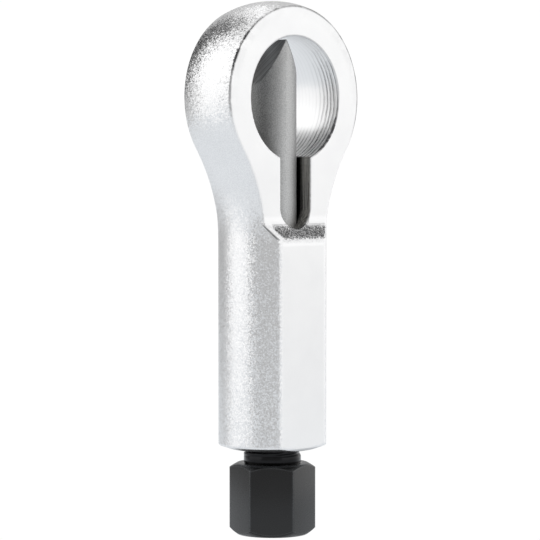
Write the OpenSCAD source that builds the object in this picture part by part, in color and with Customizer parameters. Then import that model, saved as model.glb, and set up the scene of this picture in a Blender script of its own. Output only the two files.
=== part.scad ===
// Screw-driven nut splitter: a ball head with a hole for the nut, a round shank, a cutter and a drive screw.
// Millimetres, +Z up along the screw, origin at the centre of the hexagon's end, front face towards -Y.
// The cutter is shown fully forward, its edge just short of the far side of the hole.

/* [Drive screw] */
// Hexagon, across flats
hex_af = 13; // [8:0.5:24]
// Hexagon, end to end
hex_h = 12.4; // [6:0.1:20]
// Turn of the hexagon about the screw axis, degrees
hex_turn = 13.5; // [0:0.5:60]
// Flat circle left on each end of the hexagon, as a share of the width across flats
hex_end = 0.95; // [0.8:0.01:1]
// Angle of the corner chamfer on the outer end, degrees
hex_chamfer_out = 38; // [15:1:45]
// Angle of the corner chamfer on the end next to the shank, degrees
hex_chamfer_in = 30; // [15:1:45]
// Screw, outside diameter
screw_d = 10; // [5:0.5:20]
// Screw length from the hexagon to the tip
screw_len = 34; // [25:0.5:60]
// Chamfer at the tip of the screw
screw_tip = 0.9; // [0.3:0.1:1.5]
// Length of screw left between hexagon and shank
screw_show = 2.5; // [1:0.1:10]
// Diameter of the groove that parts the screw from the hexagon
relief_d = 9.4; // [4:0.1:19]
// Width of that groove
relief_w = 0.4; // [0.2:0.1:1]

/* [Shank] */
// Round of the shank
shank_d = 18.8; // [14:0.1:40]
// Thickness over the two flats of the shank
shank_flats = 15.3; // [12:0.1:40]
// Chamfer round the open end of the shank
shank_chamfer = 0.6; // [0.2:0.1:1.5]

/* [Head] */
// Diameter of the ball that the head is cut from
ball_d = 33.4; // [26:0.1:60]
// Centre of the ball above the centre of the hole
ball_lift = 0.25; // [0:0.05:1]
// Thickness over the two faces of the head
head_thick = 11.5; // [7:0.1:25]
// Bevel round the rim of each face
rim_bevel = 0.4; // [0.2:0.05:1]
// Bevel along the sides of the neck, wider than the rim's
neck_edge = 0.6; // [0.3:0.05:1.5]
// Hole for the nut
hole_d = 21.5; // [12:0.1:40]
// Chamfer at both rims of the hole
hole_chamfer = 0.25; // [0.1:0.05:1]
// Open end of the shank to the centre of the hole
head_rise = 60.8; // [45:0.5:120]
// Radius of the hollow curve between head and shank
neck_r = 29.5; // [15:0.5:45]
// Centre of the hole to the lower edge of the head's face
face_drop = 21.6; // [18:0.1:40]
// Height of the slope from the head's face out to the shank's flat
shoulder_h = 2.7; // [1:0.1:8]

/* [Slot] */
// Width of the slot below the hole
slot_w = 7.4; // [3:0.1:16]
// Rim of the hole to the round end of the slot
slot_len = 11.6; // [5:0.1:25]

/* [Cutter] */
// Round of the cutter
cutter_d = 8.4; // [4:0.1:16]
// Angle between the two ground faces of the edge, degrees
cutter_angle = 57; // [40:1:90]
// Turn of the cutter about the screw axis, degrees
cutter_turn = -10; // [-45:1:45]
// Flat left on the edge
cutter_land = 0.2; // [0.1:0.05:1]
// Gap between the edge and the far side of the hole
cutter_gap = 0.55; // [0.2:0.05:3]
// Chamfer at the foot of the cutter
cutter_foot = 0.5; // [0.2:0.1:1]

/* [Fits] */
// Space all round the cutter in its bore
cutter_clear = 0.05; // [0.02:0.01:0.1]
// Space all round the screw in the tapped bore
screw_clear = 0.05; // [0.02:0.01:0.1]
// Tapped bore past the tip of the screw
tap_run = 1.2; // [0.5:0.1:4]
// Chamfer at the mouth of the tapped bore
tap_mouth = 0.6; // [0.2:0.1:1.5]

/* [Hidden] */
$fn = 96;
eps = 0.01;
shank_z = hex_h + screw_show;
head_z = shank_z + head_rise;
ball_z = head_z + ball_lift;
top_z = ball_z + ball_d / 2;
screw_top = hex_h + screw_len;
edge_z = head_z + hole_d / 2 - cutter_gap;
tap_top = screw_top + tap_run;
cutter_bore_d = cutter_d + 2 * cutter_clear;
tap_bore_d = screw_d + 2 * screw_clear;
hex_round = hex_af / cos(30);
slot_z = head_z - hole_d / 2 - slot_len + slot_w / 2;
face_z = head_z - face_drop;
neck_x = shank_d / 2 + neck_r;
neck_drop = sqrt(pow(ball_d / 2 + neck_r, 2) - pow(neck_x, 2));
neck_z = ball_z - neck_drop;
// Outline of a face: an arc round the hole, then a hollow arc down to the shank on each side
face_r = sqrt(pow(ball_d / 2, 2) - pow(head_thick / 2, 2));
face_x = sqrt(pow(shank_d / 2, 2) - pow(head_thick / 2, 2));
face_neck_r = (pow(neck_drop, 2) + pow(face_x, 2) - pow(face_r, 2)) / (2 * (face_r - face_x));

// Half outline of the neck and shank, as turned about the screw's axis up to where the neck meets the ball
module stem_half() {
    shank_r = shank_d / 2;
    difference() {
        polygon([[0, neck_z], [neck_x, neck_z], [0, ball_z]]);
        translate([neck_x, neck_z]) circle(r = neck_r);
    }
    polygon([
        [0, shank_z], [shank_r - shank_chamfer, shank_z], [shank_r, shank_z + shank_chamfer],
        [shank_r, neck_z], [0, neck_z]
    ]);
}

// The ring round the hole: a slice of the ball with bevelled rims, turned about an axis along the hole
module ring_slice() {
    half = head_thick / 2;
    edge_r = face_r - rim_bevel;
    translate([0, 0, ball_z]) rotate([90, 0, 0]) rotate_extrude() intersection() {
        circle(d = ball_d);
        polygon([[0, -half], [edge_r, -half], [edge_r + half, 0], [edge_r, half], [0, half]]);
    }
}

// Side outline that gives the flats of head and shank, and the slope between them
module flats_outline() {
    a = shank_flats / 2;
    b = head_thick / 2;
    polygon([
        [-a, shank_z - 1], [a, shank_z - 1], [a, face_z - shoulder_h], [b, face_z], [b, top_z + 1],
        [-b, top_z + 1], [-b, face_z], [-a, face_z - shoulder_h]
    ]);
}

// Bevel down each side of the neck, wider than the ring's, so that the two cross at a clear edge
module neck_bevel() {
    far_x = face_x + face_neck_r;
    spool_r = face_neck_r + neck_edge - head_thick / 2;
    intersection() {
        translate([-far_x, -ball_d, face_z]) cube([2 * far_x, 2 * ball_d, ball_z - face_z]);
        for (s = [-1, 1]) translate([s * far_x, 0, neck_z]) rotate([90, 0, 0]) rotate_extrude() polygon([
            [0, -ball_d], [spool_r + ball_d, -ball_d], [spool_r, 0], [spool_r + ball_d, ball_d], [0, ball_d]
        ]);
    }
}

// Round hole through the thickness of the head, with a chamfer at both rims
module nut_hole() {
    half = head_thick / 2;
    translate([0, 0, head_z]) rotate([90, 0, 0]) {
        cylinder(d = hole_d, h = head_thick + 2, center = true);
        for (s = [0, 1]) mirror([0, 0, s]) translate([0, 0, half - hole_chamfer])
            cylinder(d1 = hole_d, d2 = hole_d + 4 * hole_chamfer, h = 2 * hole_chamfer);
    }
}

// Slot through the thickness, open to the hole above it
module slot() {
    translate([0, 0, slot_z]) rotate([90, 0, 0]) cylinder(d = slot_w, h = shank_d + 2, center = true);
    translate([-slot_w / 2, -shank_d / 2 - 1, slot_z]) cube([slot_w, shank_d + 2, head_z - slot_z]);
}

// Bore for the cutter and the wider bore for the screw, both from the open end of the shank
module axial_bores() {
    mouth_r = tap_bore_d / 2 + tap_mouth;
    translate([0, 0, shank_z - 1]) cylinder(d = cutter_bore_d, h = head_z - shank_z + 1);
    translate([0, 0, shank_z - 1]) cylinder(d = tap_bore_d, h = tap_top - shank_z + 1);
    translate([0, 0, shank_z]) cylinder(r1 = mouth_r, r2 = tap_bore_d / 2, h = tap_mouth);
}

module body() {
    color([0.80, 0.81, 0.82]) difference() {
        union() {
            ring_slice();
            difference() {
                intersection() {
                    rotate_extrude() stem_half();
                    rotate([90, 0, 90]) linear_extrude(height = 2 * ball_d, center = true) flats_outline();
                }
                neck_bevel();
            }
        }
        nut_hole();
        slot();
        axial_bores();
    }
}

module cutter() {
    r = cutter_d / 2;
    land = cutter_land / 2;
    wide = cutter_d;
    low_z = edge_z - (wide - land) / tan(cutter_angle / 2);
    color([0.50, 0.51, 0.52]) rotate([0, 0, cutter_turn]) intersection() {
        union() {
            translate([0, 0, screw_top]) cylinder(r1 = r - cutter_foot, r2 = r, h = cutter_foot);
            translate([0, 0, screw_top + cutter_foot]) cylinder(r = r, h = edge_z - screw_top - cutter_foot);
        }
        rotate([90, 0, 0]) linear_extrude(height = 2 * cutter_d, center = true) polygon([
            [-wide, screw_top - 1], [wide, screw_top - 1], [wide, low_z],
            [land, edge_z], [-land, edge_z], [-wide, low_z]
        ]);
    }
}

module drive_screw() {
    end_r = hex_end * hex_af / 2;
    corner_r = hex_round / 2;
    out_h = (corner_r - end_r) * tan(hex_chamfer_out);
    in_h = (corner_r - end_r) * tan(hex_chamfer_in);
    color([0.13, 0.13, 0.14]) union() {
        intersection() {
            rotate([0, 0, hex_turn]) cylinder(d = hex_round, h = hex_h, $fn = 6);
            rotate_extrude() polygon([
                [0, 0], [end_r, 0], [corner_r, out_h], [corner_r + 1, out_h + eps],
                [corner_r + 1, hex_h - in_h - eps], [corner_r, hex_h - in_h], [end_r, hex_h], [0, hex_h]
            ]);
        }
        rotate_extrude() polygon([
            [0, hex_h - relief_w], [relief_d / 2, hex_h - relief_w], [relief_d / 2, hex_h + relief_w],
            [screw_d / 2, hex_h + relief_w], [screw_d / 2, screw_top - screw_tip],
            [screw_d / 2 - screw_tip, screw_top], [0, screw_top]
        ]);
    }
}

body();
cutter();
drive_screw();
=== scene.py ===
import bmesh
import bpy
import math
import numpy as np
from mathutils import Matrix, Vector
from types import SimpleNamespace


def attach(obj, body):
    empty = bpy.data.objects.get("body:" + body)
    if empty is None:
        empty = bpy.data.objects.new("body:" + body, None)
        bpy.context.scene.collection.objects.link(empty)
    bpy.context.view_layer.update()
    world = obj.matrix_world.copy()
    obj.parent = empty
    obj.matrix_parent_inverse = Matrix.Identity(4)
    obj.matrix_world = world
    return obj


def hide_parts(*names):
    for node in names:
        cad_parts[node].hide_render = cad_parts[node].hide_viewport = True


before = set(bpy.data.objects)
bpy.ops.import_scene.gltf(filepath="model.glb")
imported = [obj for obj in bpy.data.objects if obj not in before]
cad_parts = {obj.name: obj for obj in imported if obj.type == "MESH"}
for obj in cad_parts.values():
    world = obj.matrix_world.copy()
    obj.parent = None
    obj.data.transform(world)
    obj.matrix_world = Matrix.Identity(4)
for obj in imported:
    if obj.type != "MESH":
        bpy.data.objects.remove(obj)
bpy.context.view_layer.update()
mm = 0.001
weld = 1e-6  # points nearer than this, in metres, become one
print("frame loaded")


class Wire:  # one node socket: sums and products on it add Math nodes
    def __init__(self, tree, socket=None):
        self.tree = tree
        self.socket = socket

    def node(self, kind, settings=None, values=None, out=0):
        made = self.tree.nodes.new(kind)
        for key, value in (settings or {}).items():
            setattr(made, key, value)
        for key, value in (values or {}).items():
            if isinstance(value, Wire):
                self.tree.links.new(value.socket, made.inputs[key])
            else:
                made.inputs[key].default_value = value
        return Wire(self.tree, made.outputs[out] if len(made.outputs) else None)

    def calc(self, operation, *others):
        return self.node("ShaderNodeMath", {"operation": operation}, dict(enumerate((self, *others))))

    def flip(self, operation, other):
        return self.node("ShaderNodeMath", {"operation": operation}, {0: other, 1: self})

    def __add__(self, other): return self.calc("ADD", other)
    def __radd__(self, other): return self.calc("ADD", other)
    def __sub__(self, other): return self.calc("SUBTRACT", other)
    def __rsub__(self, other): return self.flip("SUBTRACT", other)
    def __mul__(self, other): return self.calc("MULTIPLY", other)
    def __rmul__(self, other): return self.calc("MULTIPLY", other)
    def __truediv__(self, other): return self.calc("DIVIDE", other)
    def __rtruediv__(self, other): return self.flip("DIVIDE", other)
    def __abs__(self): return self.calc("ABSOLUTE")
    def __pow__(self, other): return self.calc("POWER", other)
    def __rpow__(self, other): return self.flip("POWER", other)

    def ease(self, low, high):  # 0 at low, 1 at high, also where low is the greater
        values = {"Value": self, "From Min": low, "From Max": high}
        return self.node("ShaderNodeMapRange", {"interpolation_type": "SMOOTHSTEP"}, values)

    def mix(self, first, second):  # this socket is the factor between two colours
        return self.node("ShaderNodeMix", {"data_type": "RGBA"}, {0: self, 6: first, 7: second}, 2)


def newMaterial(name):
    mat = bpy.data.materials.new(name)
    mat.use_nodes = True
    mat.node_tree.nodes.clear()
    return mat, Wire(mat.node_tree)


def finishMaterial(w, shader):
    w.node("ShaderNodeOutputMaterial", None, {"Surface": shader})


def finishSteel(w, shade, rough, normal, metallic=1.0):
    values = {"Base Color": shade, "Metallic": metallic, "Roughness": rough, "Normal": normal}
    finishMaterial(w, w.node("ShaderNodeBsdfPrincipled", None, values))


def colour(c):
    return (*c, 1)


def millimetres(w):  # place on the piece, in millimetres
    place = w.node("ShaderNodeTexCoord", out="Object")
    place = w.node("ShaderNodeVectorMath", {"operation": "SCALE"}, {"Vector": place, "Scale": 1 / mm})
    split = w.node("ShaderNodeSeparateXYZ", None, {0: place}).socket.node
    return place, *(Wire(w.tree, s) for s in split.outputs)


def noise(w, place, scale, detail, rough):
    values = {"Vector": place, "Scale": scale, "Detail": detail, "Roughness": rough}
    return w.node("ShaderNodeTexNoise", None, values, "Fac")


def noiseAlong(w, along, scale, detail, rough):
    values = {"W": along, "Scale": scale, "Detail": detail, "Roughness": rough}
    return w.node("ShaderNodeTexNoise", {"noise_dimensions": "1D"}, values, "Fac")


def grains(w, place, scale, lean):  # small facets, each leaning its own way
    own = w.node("ShaderNodeTexVoronoi", None, {"Vector": place, "Scale": scale}, "Color")
    own = w.node("ShaderNodeVectorMath", {"operation": "SUBTRACT"}, {0: own, 1: (0.5, 0.5, 0.5)})
    own = w.node("ShaderNodeVectorMath", {"operation": "SCALE"}, {"Vector": own, "Scale": lean})
    straight = w.node("ShaderNodeNewGeometry", out="Normal")
    leant = w.node("ShaderNodeVectorMath", {"operation": "ADD"}, {0: straight, 1: own})
    return w.node("ShaderNodeVectorMath", {"operation": "NORMALIZE"}, {0: leant})


def bumped(w, height, normal=None):
    values = {"Strength": 1.0, "Distance": 1.0, "Height": height}
    if normal is not None:
        values["Normal"] = normal
    return w.node("ShaderNodeBump", None, values, "Normal")


def distance2(a, b):
    return (a * a + b * b) ** 0.5


def patch(at, limits):  # 1 where all the fades of all the places have risen
    fades = [getattr(at, name).ease(*fade) for name, pairs in limits.items() for fade in pairs]
    whole = fades[0]
    for fade in fades[1:]:
        whole = whole * fade
    return whole


# camera: front left, level with the bottom of the hole, looking slightly down
shot = {
    "distance": 450.0, "height": 65.8, "turn": 45.18, "pitch": -2.517, "roll": -0.014,
    "lens": 172.5, "sensor": 36.0, "shift": -0.00428, "near": 0.01,
}


def placeCamera(s):
    data = bpy.data.cameras.new("photoCamera")
    data.sensor_width = s["sensor"]
    data.lens = s["lens"]
    data.shift_x = s["shift"]
    data.clip_start = s["near"]
    cam = bpy.data.objects.new("photoCamera", data)
    bpy.context.scene.collection.objects.link(cam)
    turn, pitch = math.radians(s["turn"]), math.radians(s["pitch"])
    spot = Vector((-math.sin(turn), -math.cos(turn), 0)) * s["distance"] * mm
    spot.z = s["height"] * mm
    ahead = Vector((math.sin(turn) * math.cos(pitch), math.cos(turn) * math.cos(pitch), math.sin(pitch)))
    look = ahead.to_track_quat("-Z", "Y").to_matrix() @ Matrix.Rotation(math.radians(s["roll"]), 3, "Z")
    cam.matrix_world = Matrix.Translation(spot) @ look.to_4x4()
    bpy.context.scene.camera = cam


placeCamera(shot)
print("camera placed")

# sizes of the forged body, in millimetres from the foot of the hexagon
forging = {
    "ball": 16.7, "ballZ": 75.95, "headHalf": 5.75, "headZ": 75.7, "hole": 10.75,
    "neck": 29.5, "shank": 9.4, "shankHalf": 7.65, "shankZ": 14.9,
    "faceZ": 54.1, "shoulder": 2.7, "slotHalf": 3.7, "slotZ": 57.05,
    "cutterBore": 4.25, "screwBore": 5.05, "screwBoreTop": 47.6,
    # roundings, and the wide chamfer round the foot
    "rimRound": 0.36, "slopeRound": 0.6, "hollowRound": 0.8, "holeRound": 0.22, "boreRound": 0.15,
    "endRound": 0.1, "endDrop": 0.9, "endReach": 1.9, "footIn": 2.2, "footUp": 0.75, "footRound": 0.2,
    # waves in the slot's walls: strength, turn per millimetre of height and of depth, start
    "ragged": 0.012, "waves": ((1.0, 5.1, 0.0, 1.0), (1.0, 8.3, 1.0, 0.0), (0.6, 13.7, 0.0, 2.0)),
    # grid that the surface is drawn from
    "step": 0.3, "before": 1.05, "past": 1.0, "pulls": 6, "evened": 3, "leastSlope": 0.2,
}


def roundMax(a, b, r):  # both at once, with a rounded edge where they meet
    return np.minimum(np.maximum(a, b), -r) + np.hypot(np.maximum(a + r, 0), np.maximum(b + r, 0))


def roundMin(a, b, r):
    return -roundMax(-a, -b, r)


def forgingDistance(x, y, z, f):  # below zero inside the metal
    rho = np.hypot(x, y)
    up = z - f["headZ"]
    neckX = f["shank"] + f["neck"]
    neckDrop = math.sqrt((f["ball"] + f["neck"]) ** 2 - neckX ** 2)
    neckZ = f["ballZ"] - neckDrop
    over = z - f["ballZ"]
    ball = np.hypot(rho, over) - f["ball"]
    hollow = f["neck"] - np.hypot(rho - neckX, z - neckZ)
    blank = np.where(over * neckX + rho * neckDrop < 0, hollow, ball)
    blank = np.where(z < neckZ, rho - f["shank"], blank)
    cone = (rho - f["shank"] + f["footIn"]) * f["footUp"] - (z - f["shankZ"]) * f["footIn"]
    cone = cone / math.hypot(f["footIn"], f["footUp"])
    blank = roundMax(roundMax(blank, cone, f["footRound"]), f["shankZ"] - z, f["footRound"])
    # two flats on the head, two on the shank and the slope between them
    off = np.abs(y)
    fall = f["shankHalf"] - f["headHalf"]
    slope = (off - f["headHalf"]) * f["shoulder"] + (z - f["faceZ"]) * fall
    slope = slope / math.hypot(f["shoulder"], fall)
    flats = roundMin(off - f["headHalf"], slope, f["hollowRound"])
    flats = roundMax(flats, off - f["shankHalf"], f["slopeRound"])
    ends = np.clip(1 - np.abs(z - f["faceZ"] + f["endDrop"]) / f["endReach"], 0, 1)
    solid = roundMax(blank, flats, f["rimRound"] + f["endRound"] * ends * ends * (3 - 2 * ends))
    # hole and slot, then the two bores from the foot
    waves = [size * np.sin(z * high + y * deep + start) for size, high, deep, start in f["waves"]]
    slot = np.hypot(x, z - np.clip(z, f["slotZ"], f["headZ"])) - f["slotHalf"]
    slot = slot - f["ragged"] * sum(waves) * (z < f["headZ"] - f["hole"])
    opening = np.minimum(np.hypot(x, up) - f["hole"], slot)
    solid = roundMax(solid, -opening, f["holeRound"])
    cutterBore = np.maximum(rho - f["cutterBore"], up)
    screwBore = np.maximum(rho - f["screwBore"], z - f["screwBoreTop"])
    return roundMax(solid, -np.minimum(cutterBore, screwBore), f["boreRound"])


def slope3(p, f, e=0.01):  # which way the distance grows
    g = np.empty_like(p)
    for axis in range(3):
        lift = np.zeros(3)
        lift[axis] = e
        g[:, axis] = forgingDistance(*(p + lift).T, f) - forgingDistance(*(p - lift).T, f)
    return g / (2 * e)


def evened(points, quads):  # each point half way to the mean of its neighbours
    total, hits = np.zeros_like(points), np.zeros(len(points))
    for k in range(4):
        here, there = quads[:, k], quads[:, (k + 1) % 4]
        np.add.at(total, here, points[there])
        np.add.at(total, there, points[here])
        np.add.at(hits, here, 1)
        np.add.at(hits, there, 1)
    return points * 0.5 + 0.5 * total / hits[:, None]


def makeForging(f):
    step = f["step"]
    low = np.array([-f["ball"], -f["shankHalf"], f["shankZ"]]) - f["before"]
    high = np.array([f["ball"], f["shankHalf"], f["ballZ"] + f["ball"]]) + f["past"]
    count = np.ceil((high - low) / step).astype(int) + 1
    axes = [low[a] + step * np.arange(count[a]) for a in range(3)]
    inside = forgingDistance(*np.meshgrid(*axes, indexing="ij"), f) < 0
    # one point in each cell that the surface crosses, one quad for each grid edge that it crosses
    corners = sum(inside[i:count[0] - 1 + i, j:count[1] - 1 + j, k:count[2] - 1 + k].astype(int)
                  for i in (0, 1) for j in (0, 1) for k in (0, 1))
    cells = np.argwhere((corners > 0) & (corners < 8))
    number = np.full(count - 1, -1)
    number[tuple(cells.T)] = np.arange(len(cells))
    points = low + step * (cells + 0.5)
    quads = []
    for axis in range(3):
        near = np.take(inside, range(count[axis] - 1), axis)
        far = np.take(inside, range(1, count[axis]), axis)
        edges = np.argwhere(near != far)
        turned = near[tuple(edges.T)]
        unitB, unitC = (np.eye(3, dtype=int)[(axis + k) % 3] for k in (1, 2))
        ring = [number[tuple((edges - s * unitB - t * unitC).T)] for s, t in ((1, 1), (0, 1), (0, 0), (1, 0))]
        ring = np.stack(ring, 1)
        ring[~turned] = ring[~turned][:, ::-1]
        quads.append(ring)
    quads = np.concatenate(quads)
    # pull the points onto the surface, evening them out between the first pulls
    for pull in range(f["pulls"]):
        g = slope3(points, f)
        away = forgingDistance(*points.T, f)
        points = points - g * (away / np.maximum((g * g).sum(1), f["leastSlope"]))[:, None]
        if pull < f["evened"]:
            points = evened(points, quads)
    normals = slope3(points, f)
    normals /= np.linalg.norm(normals, axis=1)[:, None]
    mesh = bpy.data.meshes.new("forgedBody")
    mesh.from_pydata((points * mm).tolist(), [], quads.tolist())
    mesh.shade_smooth()
    mesh.normals_split_custom_set_from_vertices(normals.tolist())
    return mesh


def addPiece(name, mesh, mat, body, node):
    piece = bpy.data.objects.new(name, mesh)
    bpy.context.scene.collection.objects.link(piece)
    mesh.materials.clear()
    mesh.materials.append(mat)
    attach(piece, body)
    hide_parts(node)
    return piece


# blasted and bright-plated steel, turned inside the hole; noises are scale, detail and roughness
plating = {
    "bright": (0.92, 0.92, 0.92), "dull": (0.76, 0.76, 0.77), "slowDull": 0.4, "speckDull": 0.45,
    # the pits' dark also serves as the painted shade in the hole's grooves and along the rims
    "pitsAndShade": (0.10, 0.10, 0.105), "pepper": 0.9, "darkest": 0.95,
    "rough": 0.28, "slowRough": 0.03, "wallRough": 0.04, "lowRough": 0.25,
    "grit": 0.00003, "slopeGrit": 0.8, "wallGrit": 0.12, "pressed": 0.95,
    "grain": 4.8, "lean": 0.26, "shankLean": 0.8,
    "fine": (2.8, 1.0, 0.5), "slow": (0.22, 2.0, 0.5),
    "specks": (5.0, 0.0, 0.5), "speckFade": (0.3, 0.7), "peppered": (4.4, 0.0, 0.5), "pepperFade": (0.36, 0.64),
    # walls of the slot, in painted shadow deep in, towards the bore
    "slotShadow": (0.005, 0.005, 0.005), "slotOuter": (0.612, 0.5984, 0.5695), "slotLeast": 0.3,
    "slotRough": 0.5, "slotDepth": 0.00008,
    "streakScale": (3.0, 3.0, 0.15), "streaks": (1.0, 3.0, 0.6), "streakFade": (0.3, 0.7),
    # rings left by the boring tool, deepest towards the front and low in the hole, with painted shade in their
    # grooves
    "grooves": 0.00008, "rings": (3.6, 2.0, 0.6), "ringWander": 0.05, "lowRings": 0.9,
    "turns": 7.4, "turnSlow": 0.6, "turnRings": 0.5,
    "frontScallop": 0.4, "lowScallop": 0.6, "scallop": 0.5,
    "cutFade": (0.25, 0.95), "cutLeast": 0.3, "cut": (0.9, 1.0, 0.5),
    "scoredShadeLeast": 0.04, "scoredShadeFront": 0.7, "scoredShadeLow": 0.5,
    # painted shade lines along the rims
    "rimLeast": 0.3, "rimMore": 0.6, "rim": (0.6, 2.0, 0.6), "rimFade": (0.40, 0.55),
    "thinLeast": 0.25, "thinMore": 0.3, "thinVary": 0.2, "thin": (0.35, 2.0, 0.6), "thinFade": (0.35, 0.65),
    "holeEdgeShadeLeast": 0.35, "holeEdgeShade": (1.1, 2.0, 0.6), "holeEdgeShadeFade": (0.4, 0.6),
    "holeLine": 0.3, "footLine": 0.4, "tear": 0.7,
    # where each finish and each painted shade lies: for each of the body's places, where the fade is 0 and where
    # it is 1
    "patches": {
        "wall": {"hole": [(0.25, 0.05)]},
        "low": {"up": [(-4.5, -7.5)]},
        "slot": {"face": [(-0.1, -0.4)], "wide": [(0.7, 0.3)], "up": [(-9.6, -10.2)]},
        "slotOut": {"off": [(2.9, 4.2)]},
        "head": {"step": [(6.0, 14.0)]},
        "slope": {"bend": [(0.2, 0.06)], "step": [(0.2, -0.3)], "toe": [(-0.2, 0.3)], "side": [(0.0, -0.25)]},
        "end": {"x": [(0.0, -2.0)], "step": [(0.7, 0.3)], "toe": [(-0.2, 0.3)]},
        "rubbed": {"lean": [(-0.18, -0.08), (0.45, 0.2)], "side": [(-0.9, -0.55)]},
        "tear": {"lean": [(-0.34, -0.26), (-0.06, -0.14)], "side": [(-0.22, -0.12)], "step": [(0.2, -0.2)]},
        "ringFront": {"y": [(-0.5, -5.0)]},
        "ringLow": {"up": [(-4.0, -7.5)]},
        "scallopFront": {"y": [(0.5, -4.0)]},
        "scoredShadeFront": {"y": [(0.5, -4.6)], "up": [(9.5, 4.0)]},
        "rim": {"rim": [(13.5, 14.5)], "face": [(-0.45, -0.28), (0.02, -0.1)], "up": [(-4.0, -1.0)]},
        "rimMore": {"up": [(3.0, 7.0), (13.0, 10.0)]},
        "thin": {"x": [(0.0, 4.0)], "rim": [(15.2, 15.42)], "face": [(-0.16, -0.06)], "up": [(-8.0, -3.0)]},
        "thinMore": {"up": [(10.0, 5.0)]},
        "holeEdgeShade": {"y": [(-4.8, -5.3)], "x": [(2.0, 5.0)], "up": [(-1.0, -4.5), (-9.3, -8.3)]},
        "holeLine": {"hole": [(0.32, 0.2), (-0.02, 0.06)], "face": [(-0.3, -0.15)], "up": [(-1.0, 3.0)]},
        "footLine": {"foot": [(0.7, 0.35)], "side": [(-0.1, -0.5)]},
        "pressedFace": {"step": [(-0.1, 0.1)], "face": [(-0.08, -0.03)]},
        "pressedFlat": {"flat": [(-0.08, -0.03)]},
    },
}


def bodyPlaces(w, f):  # how far a point is from the body's main forms, in millimetres
    place, x, y, z = millimetres(w)
    at = SimpleNamespace(place=place, x=x, y=y, off=abs(y))
    at.up = z - f["headZ"]
    at.foot = z - f["shankZ"]
    at.step = z - f["faceZ"]
    at.toe = at.step + f["shoulder"]
    at.face = at.off - f["headHalf"]
    at.flat = at.off - f["shankHalf"]
    at.wide = abs(x) - f["slotHalf"]
    at.rim = distance2(x, z - f["ballZ"])
    at.hole = distance2(x, at.up) - f["hole"]
    at.side = distance2(x, y) - f["shank"]
    fall = f["shankHalf"] - f["headHalf"]
    at.lean = (at.face * f["shoulder"] + at.step * fall) / math.hypot(f["shoulder"], fall)
    at.bend = abs(at.lean)
    return at


def boringMarks(w, p, at, m, slow):  # height of the rings in the hole, and the painted shade in their grooves
    rings = noiseAlong(w, at.y + p["ringWander"] * slow, *p["rings"])
    turns = ((at.y + p["turnSlow"] * slow + p["turnRings"] * rings) * p["turns"]).calc("SINE")
    scallop = turns * (p["frontScallop"] * m["scallopFront"] + p["lowScallop"] * m["low"])
    height = rings * (m["ringFront"] + p["lowRings"] * m["ringLow"]) + p["scallop"] * scallop
    cut = turns.ease(*p["cutFade"]) * (p["cutLeast"] + noise(w, at.place, *p["cut"]))
    scoredShade = p["scoredShadeLeast"] + p["scoredShadeFront"] * m["scoredShadeFront"] + p["scoredShadeLow"] * m["low"]
    return height, cut * scoredShade.calc("MINIMUM", p["darkest"])


def rimShadeLines(w, p, at, m):  # painted shade lines along the rims, broken here and there
    breaks = {name: noise(w, at.place, *p[name]).ease(*p[name + "Fade"]) for name in ("rim", "thin", "holeEdgeShade")}
    lines = m["rim"] * (p["rimLeast"] + p["rimMore"] * m["rimMore"]) * breaks["rim"]
    lines = lines + m["thin"] * (p["thinLeast"] + p["thinMore"] * m["thinMore"] + p["thinVary"] * breaks["thin"])
    lines = lines + m["wall"] * m["holeEdgeShade"] * (p["holeEdgeShadeLeast"] + (1 - p["holeEdgeShadeLeast"]) * breaks["holeEdgeShade"])
    return lines + p["holeLine"] * m["holeLine"] + p["footLine"] * m["footLine"]


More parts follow.
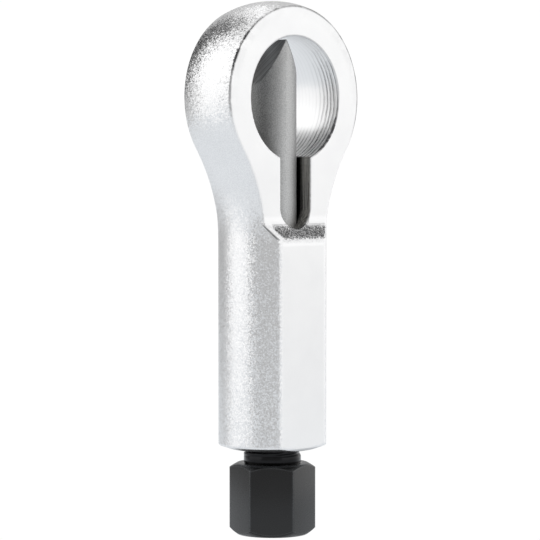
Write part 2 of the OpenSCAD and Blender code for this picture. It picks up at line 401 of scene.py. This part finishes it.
def platingMaterial(p, f):
    mat, w = newMaterial("platedSteel")
    at = bodyPlaces(w, f)
    m = {name: patch(at, limits) for name, limits in p["patches"].items()}
    fine, slow = noise(w, at.place, *p["fine"]), noise(w, at.place, *p["slow"])
    specks = noise(w, at.place, *p["specks"]).ease(*p["speckFade"])
    peppered = noise(w, at.place, *p["peppered"]).ease(*p["pepperFade"])
    streaks = w.node("ShaderNodeMapping", None, {"Vector": at.place, "Scale": p["streakScale"]})
    streaks = noise(w, streaks, *p["streaks"])
    # the slope is rubbed smooth at one end
    rubbed = m["end"] * m["rubbed"]
    slope = m["slope"] * (1 - rubbed)
    wall, slot = m["wall"], m["slot"]
    # the faces and flats are pressed smooth, the round sides and the slope keep the blasted grit
    outside = (1 - wall) * (1 - slot) * (1 - p["pressed"] * (m["pressedFace"] + m["pressedFlat"]))
    rings, scoredShade = boringMarks(w, p, at, m, slow)
    height = outside * fine * (1 + p["slopeGrit"] * slope) * p["grit"]
    height = height + wall * (rings * p["grooves"] + fine * p["wallGrit"] * p["grit"])
    height = height + slot * streaks * p["slotDepth"]
    lean = p["shankLean"] + (1 - p["shankLean"]) * m["head"]
    facets = grains(w, at.place, p["grain"], outside * (1 - slope) * lean * p["lean"])
    level = w.node("ShaderNodeCombineXYZ", None, {"Y": at.y.calc("SIGN")})
    facets = w.node("ShaderNodeMix", {"data_type": "VECTOR"}, {0: rubbed, 4: facets, 5: level}, 1)
    dulled = slow * p["slowDull"] + specks * outside * p["speckDull"]
    shade = dulled.mix(colour(p["bright"]), colour(p["dull"]))
    shade = (peppered * slope * p["pepper"]).mix(shade, colour(p["pitsAndShade"]))
    # painted shade in the hole's grooves and along the rims, and the tear at the slope's end
    marks = wall * scoredShade + rimShadeLines(w, p, at, m) + p["tear"] * m["end"] * m["tear"]
    shade = marks.calc("MINIMUM", p["darkest"]).mix(shade, colour(p["pitsAndShade"]))
    # painted shadow: the slot's walls fade to near black deep in, towards the bore, and keep their streaks
    streaked = p["slotLeast"] + (1 - p["slotLeast"]) * streaks.ease(*p["streakFade"])
    inner = (m["slotOut"] * streaked).mix(colour(p["slotShadow"]), colour(p["slotOuter"]))
    shade = slot.mix(shade, inner)
    rough = p["rough"] + p["slowRough"] * slow + slot * (p["slotRough"] - p["rough"])
    rough = rough + wall * (p["wallRough"] + p["lowRough"] * m["low"])
    finishSteel(w, shade, rough, bumped(w, height, facets))
    return mat


platedSteel = platingMaterial(plating, forging)
body = addPiece("forgedBody", makeForging(forging), platedSteel, "body", "body")
print("body made:", len(body.data.polygons), "faces")

# round cutter with two ground bevels
blade = {
    "radius": 4.2, "foot": 46.4, "chamfer": 0.5, "edge": 85.9, "angle": 57.0, "turn": -10.0, "land": 0.1,
    "soft": 0.12, "softAngle": 25, "around": 128,
}


def softened(mesh, width, angle, sharp=40, steps=2):  # small rounded edges, then smooth between the sharp ones
    piece = bpy.data.objects.new("rough", mesh)
    bpy.context.scene.collection.objects.link(piece)
    bevel = piece.modifiers.new("edges", "BEVEL")
    bevel.width, bevel.segments = width, steps
    bevel.limit_method, bevel.angle_limit = "ANGLE", math.radians(angle)
    bevel.use_clamp_overlap = True
    ready = bpy.data.meshes.new_from_object(piece.evaluated_get(bpy.context.evaluated_depsgraph_get()))
    ready.name = mesh.name
    bpy.data.objects.remove(piece)
    ready.shade_smooth()
    ready.set_sharp_from_angle(angle=math.radians(sharp))
    return ready


def makeBlade(b):
    bm = bmesh.new()
    wide, chamfer = b["radius"], b["chamfer"]
    rows = [(wide - chamfer, b["foot"]), (wide, b["foot"] + chamfer), (wide, b["edge"])]
    angles = np.linspace(0, math.tau, b["around"], False)
    rings = [[bm.verts.new((r * math.cos(a), r * math.sin(a), z)) for a in angles] for r, z in rows]
    for lower, upper in zip(rings, rings[1:]):
        for k in range(b["around"]):
            n = (k + 1) % b["around"]
            bm.faces.new((lower[k], lower[n], upper[n], upper[k]))
    bm.faces.new(rings[0][::-1])
    bm.faces.new(rings[-1])
    half = math.radians(b["angle"] / 2)
    for side in (-1, 1):
        face = Vector((side * math.cos(half), 0, math.sin(half)))
        whole = bm.verts[:] + bm.edges[:] + bm.faces[:]
        spot = (side * b["land"], 0, b["edge"])
        cut = bmesh.ops.bisect_plane(bm, geom=whole, plane_co=spot, plane_no=face, clear_outer=True)
        bmesh.ops.contextual_create(bm, geom=[e for e in cut["geom_cut"] if isinstance(e, bmesh.types.BMEdge)])
    bmesh.ops.rotate(bm, verts=bm.verts, matrix=Matrix.Rotation(math.radians(b["turn"]), 3, "Z"))
    bmesh.ops.scale(bm, verts=bm.verts, vec=(mm, mm, mm))
    bmesh.ops.recalc_face_normals(bm, faces=bm.faces)
    mesh = bpy.data.meshes.new("cutterRod")
    bm.to_mesh(mesh)
    bm.free()
    return softened(mesh, b["soft"] * mm, b["softAngle"])


# ground tool steel, lightly marked by the wheel
ground = {
    "light": (0.64, 0.64, 0.635), "dark": (0.165, 0.165, 0.163),
    "speckShare": 0.25, "darkFrom": -1.25, "darkTo": -0.8,
    "rough": 0.52, "slowRough": 0.1, "bevelRough": 0.08, "grain": 0.000012,
    "fine": (6.0, 2.0, 0.6), "slow": (0.5, 2.0, 0.5), "specks": (5.5, 0.0, 0.5), "speckFade": (0.3, 0.7),
    # marks of the wheel across the two bevels, kept dark as painted shade
    "bevelFade": (0.3, 0.05), "hatch": 0.00002, "hatchUp": 0.8, "hatchAlong": 0.9, "hatchNoise": (3.0, 2.0, 0.5),
    "hatchFade": (0.3, 0.7), "hatchDark": (0.12, 0.12, 0.12), "hatchLight": (0.24, 0.24, 0.24),
}


def groundMaterial(g, b):
    mat, w = newMaterial("groundToolSteel")
    place, x, y, z = millimetres(w)
    fine, slow = noise(w, place, *g["fine"]), noise(w, place, *g["slow"])
    specks = noise(w, place, *g["specks"]).ease(*g["speckFade"])
    turn, half = math.radians(b["turn"]), math.radians(b["angle"] / 2)
    across = x * math.cos(turn) + y * math.sin(turn)
    along = y * math.cos(turn) - x * math.sin(turn)
    reach = (b["edge"] - z) * math.tan(half) + b["land"]
    bevelled = (reach - abs(across)).ease(*g["bevelFade"])
    hatch = noiseAlong(w, z * g["hatchUp"] + along * g["hatchAlong"], *g["hatchNoise"])
    height = fine * g["grain"] + bevelled * hatch * g["hatch"]
    # painted shade: the rod is darker towards -X
    lit = x.ease(g["darkFrom"] * b["radius"], g["darkTo"])
    lit = g["speckShare"] * specks + (1 - g["speckShare"]) * lit
    shade = lit.mix(colour(g["dark"]), colour(g["light"]))
    # painted shade: the bevels are darker than the rod, with the wheel's hatch in two tones
    hatched = hatch.ease(*g["hatchFade"]).mix(colour(g["hatchDark"]), colour(g["hatchLight"]))
    shade = bevelled.mix(shade, hatched)
    rough = g["rough"] + g["slowRough"] * slow - g["bevelRough"] * bevelled
    finishSteel(w, shade, rough, bumped(w, height))
    return mat


cutter = addPiece("cutterRod", makeBlade(blade), groundMaterial(ground, blade), "cutter", "cutter")
print("cutter made:", len(cutter.data.polygons), "faces")

# drive screw: hexagon, groove and collar, then the thread
screw = {
    "across": 13.0, "height": 12.4, "turn": 13.5, "end": 6.175, "outer": 38.0, "inner": 30.0,
    "radius": 5.0, "groove": 4.85, "grooveTop": 12.5, "collarTop": 13.5, "tip": 46.4, "tipChamfer": 0.9,
    "pitch": 1.5, "depth": 0.8, "flank": (0.12, 0.8), "runOut": 1.6, "rowsPerTurn": 12,
    "around": 96, "soft": 0.12, "softAngle": 20, "sharp": 40,
}


def makeHexagon(s):
    count = s["around"]
    turn = math.radians(s["turn"])
    angles = turn + math.tau * np.arange(count) / count
    flat = (np.arange(count) % (count // 6)) * math.tau / count - math.pi / 6
    corner = s["across"] / 2 / np.cos(flat)
    outer = (corner - s["end"]) * math.tan(math.radians(s["outer"]))
    inner = s["height"] - (corner - s["end"]) * math.tan(math.radians(s["inner"]))
    rows = [
        (s["end"], 0.0), (corner, outer), (corner, inner), (s["end"], s["height"]), (s["groove"], s["height"]),
        (s["groove"], s["grooveTop"]), (s["radius"], s["grooveTop"]), (s["radius"], s["collarTop"]),
    ]
    points, faces = [], []
    for r, z in rows:
        points += np.stack([r * np.cos(angles), r * np.sin(angles), z + np.zeros(count)], 1).tolist()
    for row in range(len(rows) - 1):
        for k in range(count):
            n = (k + 1) % count
            faces.append((row * count + k, row * count + n, row * count + count + n, row * count + count + k))
    faces.append(tuple(range(count))[::-1])
    mesh = bpy.data.meshes.new("hexagon")
    mesh.from_pydata((np.array(points) * mm).tolist(), [], faces)
    return softened(mesh, s["soft"] * mm, s["softAngle"])


def threadTree(flank):
    tree = bpy.data.node_groups.new("screwThread", "GeometryNodeTree")
    tree.interface.new_socket(name="Geometry", in_out="OUTPUT", socket_type="NodeSocketGeometry")
    kinds = dict.fromkeys(("Foot", "Length", "Radius", "Pitch", "Depth", "Run Out", "Chamfer", "Turn"), "Float")
    kinds |= {"Around": "Int", "Rows": "Int", "Material": "Material"}
    for name, kind in kinds.items():
        tree.interface.new_socket(name=name, in_out="INPUT", socket_type="NodeSocket" + kind)
    w = Wire(tree)
    given = tree.nodes.new("NodeGroupInput")
    want = {name: Wire(tree, given.outputs[name]) for name in kinds}
    size = {"Size X": 1.0, "Size Y": 1.0, "Vertices X": want["Around"] + 1, "Vertices Y": want["Rows"]}
    grid = w.node("GeometryNodeMeshGrid", None, size, "Mesh")
    here = w.node("ShaderNodeSeparateXYZ", None, {0: w.node("GeometryNodeInputPosition")}).socket.node
    around, along = (Wire(tree, here.outputs[k]) + 0.5 for k in (0, 1))
    rise = along * want["Length"]
    # a right-hand thread: its phase moves up one pitch with each turn
    phase = (rise / want["Pitch"] - around).calc("PINGPONG", 0.5) * 2
    dip = phase.ease(*flank) * rise.ease(0.0, want["Run Out"]) * want["Depth"]
    tip = want["Radius"] - want["Chamfer"] + (want["Length"] - rise)
    radius = (want["Radius"] - dip).calc("MINIMUM", tip)
    angle = around * math.tau + want["Turn"]
    spot = {"X": radius * angle.calc("COSINE"), "Y": radius * angle.calc("SINE"), "Z": rise + want["Foot"]}
    spot = w.node("ShaderNodeCombineXYZ", None, spot)
    tube = w.node("GeometryNodeSetPosition", None, {"Geometry": grid, "Position": spot})
    disc = {"Vertices": want["Around"], "Radius": want["Radius"] - want["Chamfer"]}
    lid = w.node("GeometryNodeMeshCircle", {"fill_type": "NGON"}, disc)
    raised = w.node("ShaderNodeCombineXYZ", None, {"Z": want["Foot"] + want["Length"]})
    turned = w.node("ShaderNodeCombineXYZ", None, {"Z": want["Turn"]})
    lid = w.node("GeometryNodeTransform", None, {"Geometry": lid, "Translation": raised, "Rotation": turned})
    join = tree.nodes.new("GeometryNodeJoinGeometry")
    for part in (tube, lid):
        tree.links.new(part.socket, join.inputs[0])
    whole = {"Geometry": Wire(tree, join.outputs[0]), "Distance": weld}
    whole = w.node("GeometryNodeMergeByDistance", None, whole)
    whole = w.node("GeometryNodeRealizeInstances", None, {"Geometry": whole})
    whole = w.node("GeometryNodeSetMaterial", None, {"Geometry": whole, "Material": want["Material"]})
    tree.links.new(whole.socket, tree.nodes.new("NodeGroupOutput").inputs[0])
    return tree


def makeThread(s, mat):
    tree = threadTree(s["flank"])
    carrier = bpy.data.objects.new("threadCarrier", bpy.data.meshes.new("threadCarrier"))
    bpy.context.scene.collection.objects.link(carrier)
    modifier = carrier.modifiers.new("thread", "NODES")
    modifier.node_group = tree
    length = s["tip"] - s["collarTop"]
    given = {
        "Foot": s["collarTop"] * mm, "Length": length * mm, "Radius": s["radius"] * mm,
        "Pitch": s["pitch"] * mm, "Depth": s["depth"] * mm, "Run Out": s["runOut"] * mm,
        "Chamfer": s["tipChamfer"] * mm, "Turn": math.radians(s["turn"]), "Around": s["around"],
        "Rows": int(length / s["pitch"] * s["rowsPerTurn"]), "Material": mat,
    }
    for item in tree.interface.items_tree:
        if item.in_out == "INPUT":
            modifier[item.identifier] = given[item.name]
    mesh = bpy.data.meshes.new_from_object(carrier.evaluated_get(bpy.context.evaluated_depsgraph_get()))
    carrier.modifiers.remove(modifier)
    bpy.data.objects.remove(carrier)
    return mesh


def makeScrew(s, mat):
    bm = bmesh.new()
    for part in (makeHexagon(s), makeThread(s, mat)):
        bm.from_mesh(part)
    bmesh.ops.remove_doubles(bm, verts=bm.verts, dist=weld)
    bmesh.ops.recalc_face_normals(bm, faces=bm.faces)
    mesh = bpy.data.meshes.new("driveScrew")
    bm.to_mesh(mesh)
    bm.free()
    mesh.shade_smooth()
    mesh.set_sharp_from_angle(angle=math.radians(s["sharp"]))
    return mesh


# black oxide, rubbed bare along the hexagon's corners, with painted highlights along the chamfers' edges, painted
# light on top and painted shade on the outer chamfer
oxide = {
    "shade": (0.0015, 0.0015, 0.002), "shadeSlow": (0.002025, 0.002025, 0.0027), "slowFade": (0.3, 0.7),
    # the lighter colour serves the rubbed corners, the painted highlights and the painted light on top
    "wearAndHighlight": (0.04, 0.042, 0.045), "thread": (0.02, 0.02, 0.021), "grain": 0.000008,
    "rough": 0.28, "fineRough": 0.1, "slowRough": 0.08, "threadSmooth": 0.12,
    "fine": (5.0, 3.0, 0.6), "slow": (0.4, 2.0, 0.5), "wornFine": 0.7, "wornSlow": 0.6, "wornFade": (0.35, 0.8),
    # strengths of the painted highlights along the chamfers' edges, the painted light on top and the painted shade
    # on the outer chamfer
    "arcHighlights": 0.7, "crownLight": 0.9, "underShade": 0.8,
    # where each finish, painted highlight and painted shade lies: for each of the hexagon's places, where the fade
    # is 0 and where it is 1
    "patches": {
        "corner": {"fold": [(0.22, 0.05)], "far": [(6.9, 7.2)], "down": [(0.0, 0.5)]},
        "outerArc": {"above": [(0.02, 0.1), (0.3, 0.2)]},
        "innerArc": {"below": [(0.02, 0.1), (0.3, 0.2)]},
        "face": {"reach": [(0.25, 0.32)]},
        "underShade": {"above": [(0.1, 0.02)], "reach": [(0.0, 0.1)]},
        "crownLight": {"down": [(0.3, 0.1)], "reach": [(-1.05, -0.85)]},
        "thread": {"down": [(0.1, 0.0)], "reach": [(-1.0, -1.1)]},
    },
}


def hexagonPlaces(w, s):  # how far a point is from the hexagon's main forms, in millimetres
    place, x, y, z = millimetres(w)
    at = SimpleNamespace(place=place, down=s["height"] - z)
    turn = y.calc("ARCTAN2", x) - math.radians(s["turn"])
    at.fold = (turn + math.tau).calc("PINGPONG", math.pi / 6) * s["across"] / 2
    at.far = distance2(x, y)
    at.reach = at.far - s["end"]
    at.above = z - at.reach * math.tan(math.radians(s["outer"]))
    at.below = at.down - at.reach * math.tan(math.radians(s["inner"]))
    return at


def oxideMaterial(o, s):
    mat, w = newMaterial("blackOxide")
    at = hexagonPlaces(w, s)
    m = {name: patch(at, limits) for name, limits in o["patches"].items()}
    fine, slow = noise(w, at.place, *o["fine"]), noise(w, at.place, *o["slow"])
    shade = slow.ease(*o["slowFade"]).mix(colour(o["shade"]), colour(o["shadeSlow"]))
    # lighter along the corners, where rubbed bare; painted highlights along the edges of the chamfers, and painted
    # light on top round the collar
    wearAndHighlight = m["corner"] + o["arcHighlights"] * (m["outerArc"] + m["innerArc"]) * m["face"]
    wearAndHighlight = wearAndHighlight * (fine * o["wornFine"] + slow * o["wornSlow"]).ease(*o["wornFade"]) + o["crownLight"] * m["crownLight"]
    shade = wearAndHighlight.mix(shade, colour(o["wearAndHighlight"]))
    # the thread is nearly bare metal; the outer chamfer takes the same dark mirror colour as painted shade
    bare = m["thread"] + o["underShade"] * m["underShade"]
    shade = bare.mix(shade, colour(o["thread"]))
    rough = o["rough"] + o["fineRough"] * (fine - 0.5) + o["slowRough"] * (slow - 0.5) - o["threadSmooth"] * bare
    finishSteel(w, shade, rough, bumped(w, fine * o["grain"]), bare)
    return mat


oxideBlack = oxideMaterial(oxide, screw)
screwMesh = makeScrew(screw, oxideBlack)
driveScrew = addPiece("driveScrew", screwMesh, oxideBlack, "drive_screw", "drive_screw")
print("screw made:", len(driveScrew.data.polygons), "faces")

# pale table, low enough for the screw to be run right out; sizes in metres
table = {
    "drop": 0.025, "front": 0.3, "back": 0.8, "side": 0.34,
    "glow": (0.82025, 0.85, 0.87975), "seen": (1.02, 1.02, 1.02),
}


def makeTable(t, s):
    turn = math.radians(s["turn"])
    ahead, right = Vector((math.sin(turn), math.cos(turn), 0)), Vector((math.cos(turn), -math.sin(turn), 0))
    reach = ((-t["side"], -t["front"]), (t["side"], -t["front"]), (t["side"], t["back"]), (-t["side"], t["back"]))
    spots = [right * across + ahead * along for across, along in reach]
    mesh = bpy.data.meshes.new("table")
    mesh.from_pydata([(p.x, p.y, -t["drop"]) for p in spots], [], [(0, 1, 2, 3)])
    obj = bpy.data.objects.new("table", mesh)
    bpy.context.scene.collection.objects.link(obj)
    mat, w = newMaterial("paleTable")
    seen = w.node("ShaderNodeLightPath", out="Is Camera Ray")
    glow = seen.mix(colour(t["glow"]), colour(t["seen"]))
    finishMaterial(w, w.node("ShaderNodeEmission", None, {"Color": glow, "Strength": 1.0}))
    mesh.materials.append(mat)


makeTable(table, shot)

# studio round the piece: cards by bearing from the camera (right is plus) and by height, in degrees
studio = {
    "air": 0.52, "seen": (1.02, 1.02, 1.02),
    "cards": {
        "floorGlow": {"from": -181, "to": 181, "low": -91, "high": -11, "soft": 6, "level": 0.85},
        "ceiling": {"from": -181, "to": 181, "low": 54, "high": 91, "soft": 10, "level": 1.0},
        "darkLeft": {"from": -156, "to": -117, "low": 3, "high": 66, "soft": 5, "level": 0.0},
        "darkAbove": {"from": -50, "to": 70, "low": 30, "high": 62, "soft": 6, "level": 0.04},
        "darkRight": {"from": 60, "to": 150, "low": 28, "high": 56, "soft": 6, "level": 0.30},
        "darkUpper": {"from": -152, "to": -111, "low": 36, "high": 66, "soft": 5, "level": 0.0},
        "behindLeft": {"from": -181, "to": -156, "low": -91, "high": 44, "soft": 6, "level": 0.62},
        "behindTop": {"from": -181, "to": -151, "low": 41, "high": 91, "soft": 8, "level": 1.35},
        "behind": {"from": 140, "to": 181, "low": -91, "high": 42, "soft": 8, "level": 0.64},
        "behindRight": {"from": 108, "to": 144, "low": -91, "high": 28, "soft": 8, "level": 1.2},
        "lowLeft": {"from": -165, "to": -112, "low": -14, "high": 0, "soft": 4, "level": 0.52},
        "thinLeft": {"from": -46, "to": -24, "low": -91, "high": 6, "soft": 8, "level": 0.40},
        "leftFloor": {"from": -104, "to": -48, "low": -91, "high": 24, "soft": 5, "level": 1.17},
        "leftBox": {"from": -117, "to": -43, "low": 6, "high": 54, "soft": 12, "level": 1.22},
        "leftHigh": {"from": -115, "to": -45, "low": 20, "high": 54, "soft": 12, "level": 1.35},
        "rightHigh": {"from": 38, "to": 72, "low": -9, "high": 36, "soft": 8, "level": 1.14},
        "rightBox": {"from": 60, "to": 112, "low": -6, "high": 28, "soft": 14, "level": 1.14},
    },
}


def lightStudio(c, s):
    world = bpy.data.worlds.new("studio")
    world.use_nodes = True
    world.node_tree.nodes.clear()
    w = Wire(world.node_tree)
    split = w.node("ShaderNodeSeparateXYZ", None, {0: w.node("ShaderNodeTexCoord", out="Generated")}).socket.node
    x, y, z = (Wire(w.tree, o) for o in split.outputs)
    turn = math.radians(s["turn"])
    towards = x * -math.sin(turn) - y * math.cos(turn)
    right = x * math.cos(turn) - y * math.sin(turn)
    bearing = right.calc("ARCTAN2", towards) * math.degrees(1)
    height = z.calc("ARCSINE") * math.degrees(1)
    level = w.node("ShaderNodeValue")
    level.socket.default_value = c["air"]
    for card in c["cards"].values():
        e = card["soft"] / 2
        lit = bearing.ease(card["from"] - e, card["from"] + e) * bearing.ease(card["to"] + e, card["to"] - e)
        lit = lit * height.ease(card["low"] - e, card["low"] + e) * height.ease(card["high"] + e, card["high"] - e)
        level = level + lit * (card["level"] - level)
    tint = w.node("ShaderNodeCombineColor", None, {"Red": level, "Green": level, "Blue": level})
    seen = w.node("ShaderNodeLightPath", out="Is Camera Ray")
    sky = w.node("ShaderNodeBackground", None, {"Color": seen.mix(tint, colour(c["seen"])), "Strength": 1.0})
    w.node("ShaderNodeOutputWorld", None, {"Surface": sky})
    bpy.context.scene.world = world


lightStudio(studio, shot)
bpy.context.scene.view_settings.view_transform = "Standard"
print("studio lit")
